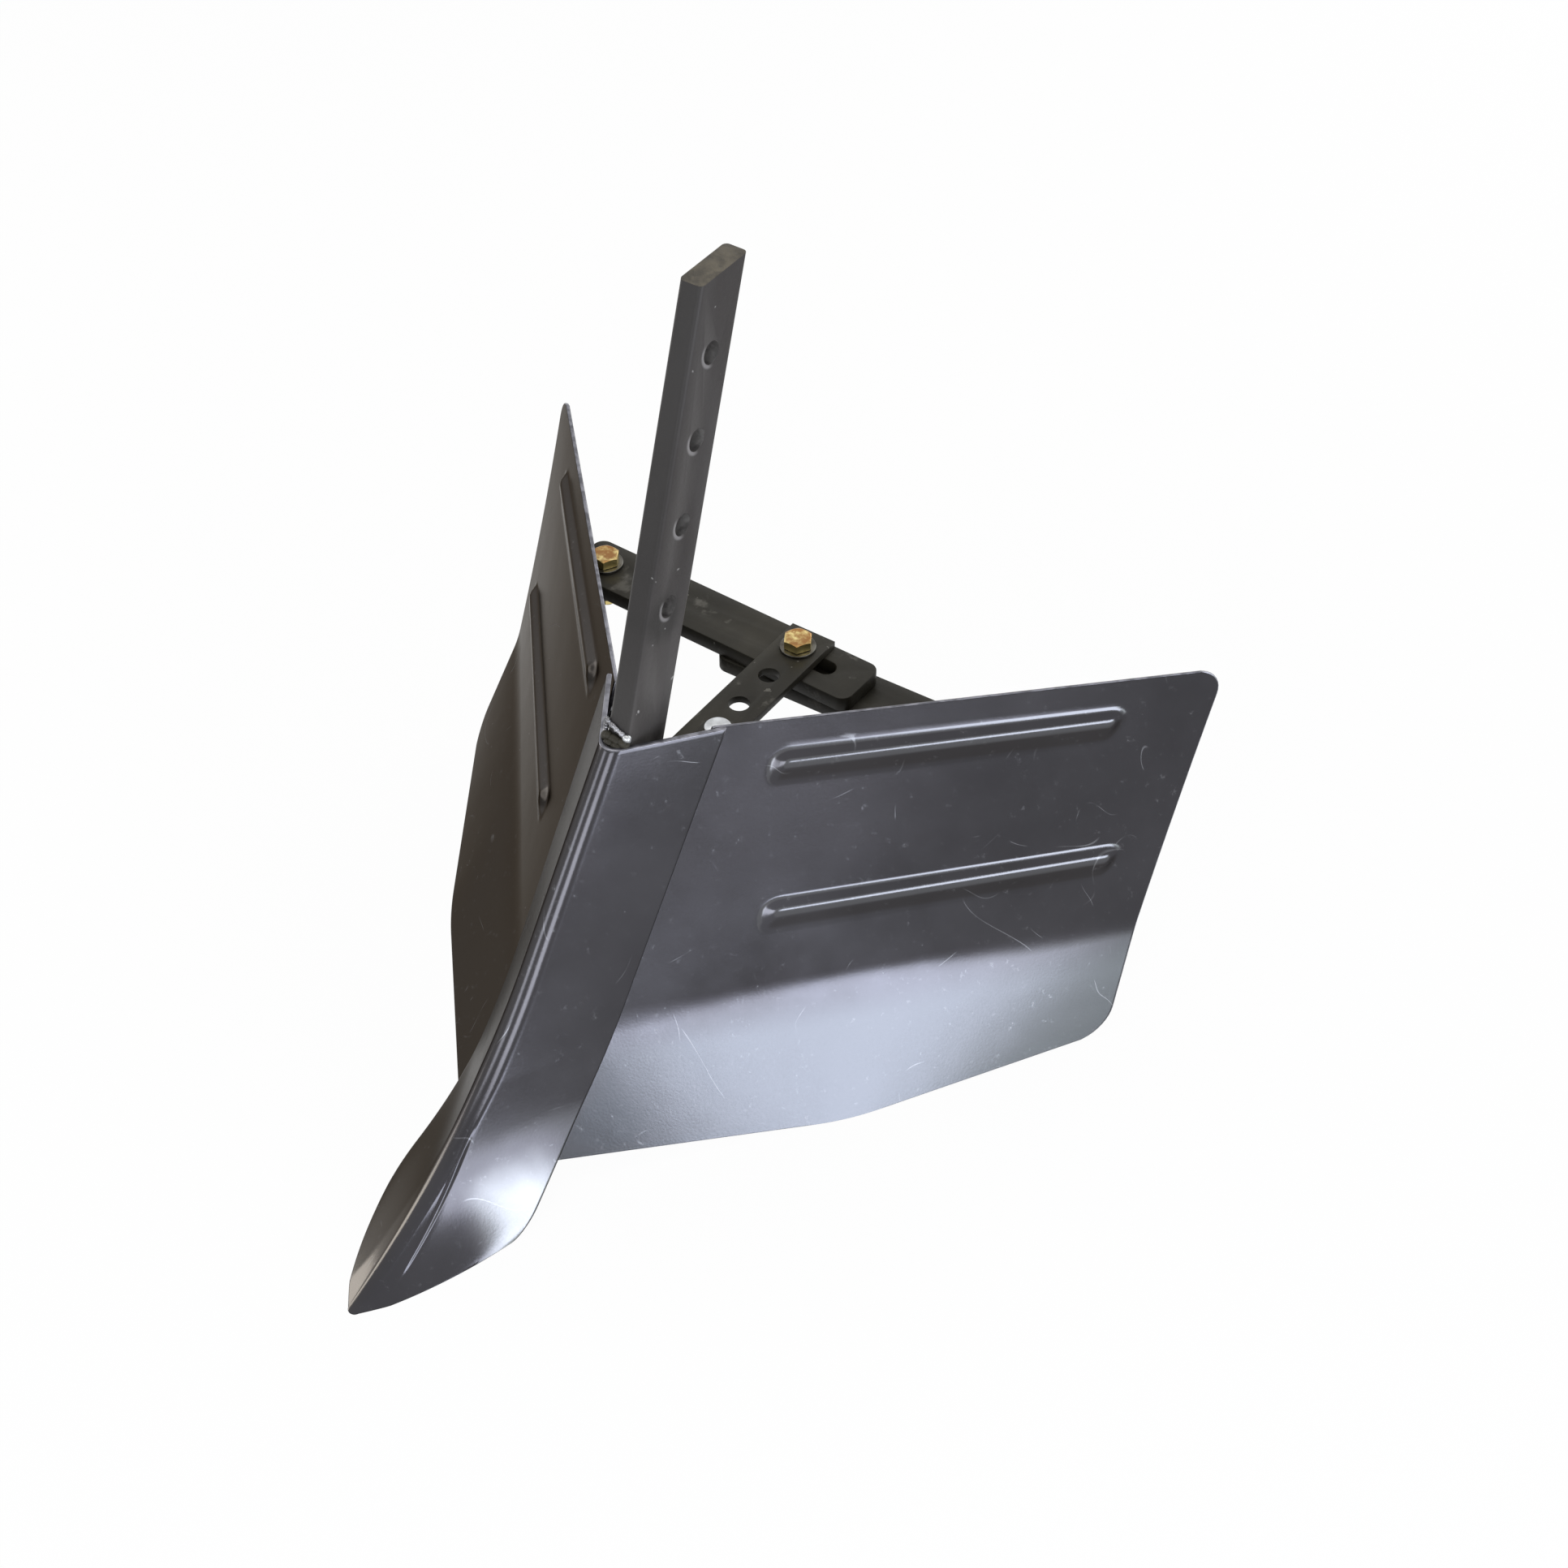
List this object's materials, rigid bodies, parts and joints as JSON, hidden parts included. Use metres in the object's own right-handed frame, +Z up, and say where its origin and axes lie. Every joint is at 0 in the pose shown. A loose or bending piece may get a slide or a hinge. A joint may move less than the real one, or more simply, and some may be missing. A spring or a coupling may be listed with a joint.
{
  "type": "walk-behind ridger",
  "caption": "Ridging body for a walk-behind cultivator: a folded pointed share on a drilled flat shank, with hinged mouldboard wings held apart by slotted struts on a rear stay.",
  "frame": {"origin": "on the floor, under the middle of the part's box", "axes": "+Z up, travel towards -Y, +X towards the right wing as seen from the front"},
  "size_m": [0.3904, 0.4238, 0.3965],
  "materials": {
    "share_steel": "dark oiled sheet steel with fine scratches",
    "shank_steel": "worn dark paint on a flat bar",
    "weld_plate": "dark flat plate",
    "bar_steel": "olive black flat bar",
    "zinc": "bright zinc",
    "yellow_zinc": "yellow zinc"
  },
  "bodies": {
    "ridger_frame": {"shank": "shank_steel", "share": "share_steel", "share_web": "weld_plate", "upper_hinge_plate": "weld_plate", "lower_hinge_plate": "weld_plate", "stay": "bar_steel", "centre_bolt": "yellow_zinc", "centre_washers": "zinc", "centre_nut": "yellow_zinc", "left_hinge_pin": "zinc", "left_pin_washer": "zinc", "left_split_pin": "zinc", "right_hinge_pin": "zinc", "right_pin_washer": "zinc", "right_split_pin": "zinc"},
    "left_wing_unit": {"left_wing": "share_steel", "left_upper_lug": "weld_plate", "left_lower_lug": "weld_plate", "left_tab": "weld_plate", "left_tab_bolt": "yellow_zinc", "left_tab_washers": "zinc", "left_tab_nut": "yellow_zinc"},
    "left_strut_unit": {"left_strut": "bar_steel"},
    "right_wing_unit": {"right_wing": "share_steel", "right_upper_lug": "weld_plate", "right_lower_lug": "weld_plate", "right_tab": "weld_plate", "right_tab_bolt": "yellow_zinc", "right_tab_washers": "zinc", "right_tab_nut": "yellow_zinc"},
    "right_strut_unit": {"right_strut": "bar_steel"}
  },
  "joints": [
    {"name": "left_wing_spread", "type": "hinge", "parent": "ridger_frame", "child": "left_wing_unit", "pos_m": [-0.0225, 0.0455, 0.14], "axis": [0, 0, 1], "range_deg": [0, 6]},
    {"name": "left_strut_pivot", "type": "hinge", "parent": "left_wing_unit", "child": "left_strut_unit", "pos_m": [-0.12, 0.147, 0.13], "axis": [0, 0, -1], "range_deg": [0, 1.2]},
    {"name": "right_wing_spread", "type": "hinge", "parent": "ridger_frame", "child": "right_wing_unit", "pos_m": [0.0225, 0.0455, 0.14], "axis": [0, 0, -1], "range_deg": [0, 6]},
    {"name": "right_strut_pivot", "type": "hinge", "parent": "right_wing_unit", "child": "right_strut_unit", "pos_m": [0.12, 0.147, 0.13], "axis": [0, 0, 1], "range_deg": [0, 1.2]}
  ],
  "couplings": [
    {"joint": "left_strut_pivot", "follows": "left_wing_spread", "ratio": 0.19},
    {"joint": "right_strut_pivot", "follows": "right_wing_spread", "ratio": 0.19}
  ]
}
